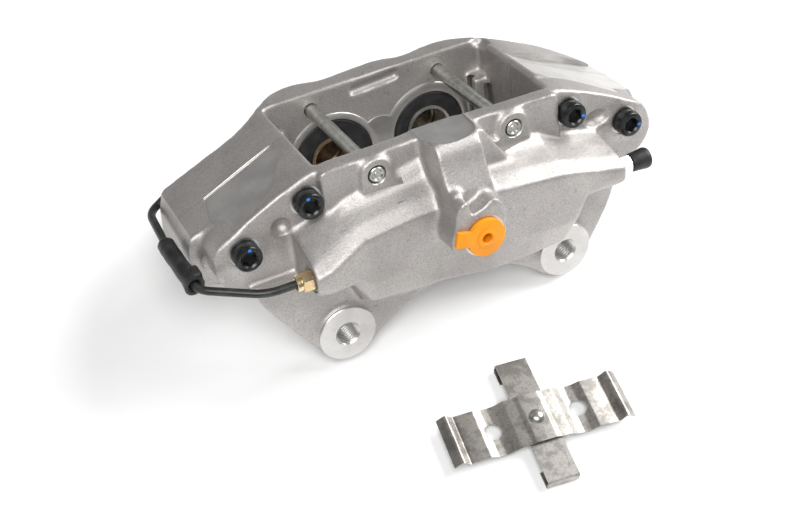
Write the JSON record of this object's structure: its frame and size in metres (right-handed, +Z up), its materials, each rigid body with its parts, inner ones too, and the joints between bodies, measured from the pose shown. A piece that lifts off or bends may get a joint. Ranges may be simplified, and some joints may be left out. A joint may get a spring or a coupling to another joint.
{
  "type": "brake caliper",
  "caption": "Fixed opposed-piston brake caliper in two bolted cast halves, with pad pins, crossover pipe, bleeder screws, port plug and a loose pad spring.",
  "frame": {"origin": "bottom centre of the bounding box of the caliper and its loose pad spring, on the table they stand on", "axes": "+X along the disc's rim, from the crossover pipe end to the bleeder end; +Y from the inboard half towards the outboard half; +Z up. The caliper leans back 20.8 degrees about X, as it stands on its lugs and on the outboard half's lower edge"},
  "size_m": [0.307, 0.2752, 0.1318],
  "materials": {
    "cast_body": "fine bead-blasted cast aluminium with machined faces",
    "piston_metal": "hard-anodised aluminium with a turned nose",
    "black_steel": "black oxide and black coated steel",
    "plated_steel": "satin zinc plate",
    "yellow_zinc": "yellow passivated zinc",
    "stainless": "rolled stainless spring sheet",
    "black_rubber": "moulded black rubber",
    "orange_plug": "moulded orange polyethylene"
  },
  "bodies": {
    "root": {"inboard_housing": "cast_body", "outboard_housing": "cast_body", "bridge_bolt_1": "black_steel", "bridge_bolt_2": "black_steel", "bridge_bolt_3": "black_steel", "bridge_bolt_4": "black_steel", "crossover_pipe": "black_steel", "pipe_sleeve": "black_rubber", "inboard_tube_nut": "yellow_zinc", "outboard_tube_nut": "yellow_zinc", "inboard_dust_boot_left": "black_rubber", "inboard_piston_seal_left": "black_rubber", "inboard_dust_boot_right": "black_rubber", "inboard_piston_seal_right": "black_rubber", "outboard_dust_boot_left": "black_rubber", "outboard_piston_seal_left": "black_rubber", "outboard_dust_boot_right": "black_rubber", "outboard_piston_seal_right": "black_rubber"},
    "inboard_piston_left": {"inboard_piston_left": "piston_metal"},
    "inboard_piston_right": {"inboard_piston_right": "piston_metal"},
    "outboard_piston_left": {"outboard_piston_left": "piston_metal"},
    "outboard_piston_right": {"outboard_piston_right": "piston_metal"},
    "pad_pin_left": {"pad_pin_left": "plated_steel"},
    "pad_pin_right": {"pad_pin_right": "plated_steel"},
    "inboard_bleeder": {"inboard_bleeder_screw": "plated_steel"},
    "inboard_bleeder_cap": {"inboard_bleeder_cap": "black_rubber"},
    "outboard_bleeder": {"outboard_bleeder_screw": "plated_steel"},
    "outboard_bleeder_cap": {"outboard_bleeder_cap": "black_rubber"},
    "hose_port_plug": {"hose_port_plug": "orange_plug"},
    "pad_spring": {"spring_leaf": "stainless", "spring_strap": "stainless", "spring_rivet": "stainless"}
  },
  "joints": [
    {"name": "inboard_piston_left_slide", "type": "slide", "parent": "root", "child": "inboard_piston_left", "axis": [0, 0.9347, -0.3554], "range_m": [0, 0.014], "deforming": ["inboard_dust_boot_left"]},
    {"name": "inboard_piston_right_slide", "type": "slide", "parent": "root", "child": "inboard_piston_right", "axis": [0, 0.9347, -0.3554], "range_m": [0, 0.014], "deforming": ["inboard_dust_boot_right"]},
    {"name": "outboard_piston_left_slide", "type": "slide", "parent": "root", "child": "outboard_piston_left", "axis": [0, -0.9347, 0.3554], "range_m": [0, 0.014], "deforming": ["outboard_dust_boot_left"]},
    {"name": "outboard_piston_right_slide", "type": "slide", "parent": "root", "child": "outboard_piston_right", "axis": [0, -0.9347, 0.3554], "range_m": [0, 0.014], "deforming": ["outboard_dust_boot_right"]},
    {"name": "pad_pin_left_slide", "type": "slide", "parent": "root", "child": "pad_pin_left", "axis": [0, -0.9347, 0.3554], "range_m": [0, 0.085]},
    {"name": "pad_pin_right_slide", "type": "slide", "parent": "root", "child": "pad_pin_right", "axis": [0, -0.9347, 0.3554], "range_m": [0, 0.085]},
    {"name": "inboard_bleeder_turn", "type": "hinge", "parent": "root", "child": "inboard_bleeder", "pos_m": [0.11376, -0.00054, 0.08159], "axis": [1, 0, 0], "range_deg": [0, 180]},
    {"name": "inboard_bleeder_cap_slide", "type": "slide", "parent": "inboard_bleeder", "child": "inboard_bleeder_cap", "axis": [1, 0, 0], "range_m": [0, 0.02]},
    {"name": "outboard_bleeder_turn", "type": "hinge", "parent": "root", "child": "outboard_bleeder", "pos_m": [0.10826, 0.12284, 0.03468], "axis": [1, 0, 0], "range_deg": [0, 180]},
    {"name": "outboard_bleeder_cap_slide", "type": "slide", "parent": "outboard_bleeder", "child": "outboard_bleeder_cap", "axis": [1, 0, 0], "range_m": [0, 0.02]},
    {"name": "hose_port_plug_slide", "type": "slide", "parent": "root", "child": "hose_port_plug", "axis": [0, -0.9347, 0.3554], "range_m": [0, 0.014]},
    {"name": "pad_spring_lift", "type": "slide", "parent": "root", "child": "pad_spring", "axis": [0, 0, 1], "range_m": [0, 0.06]}
  ]
}
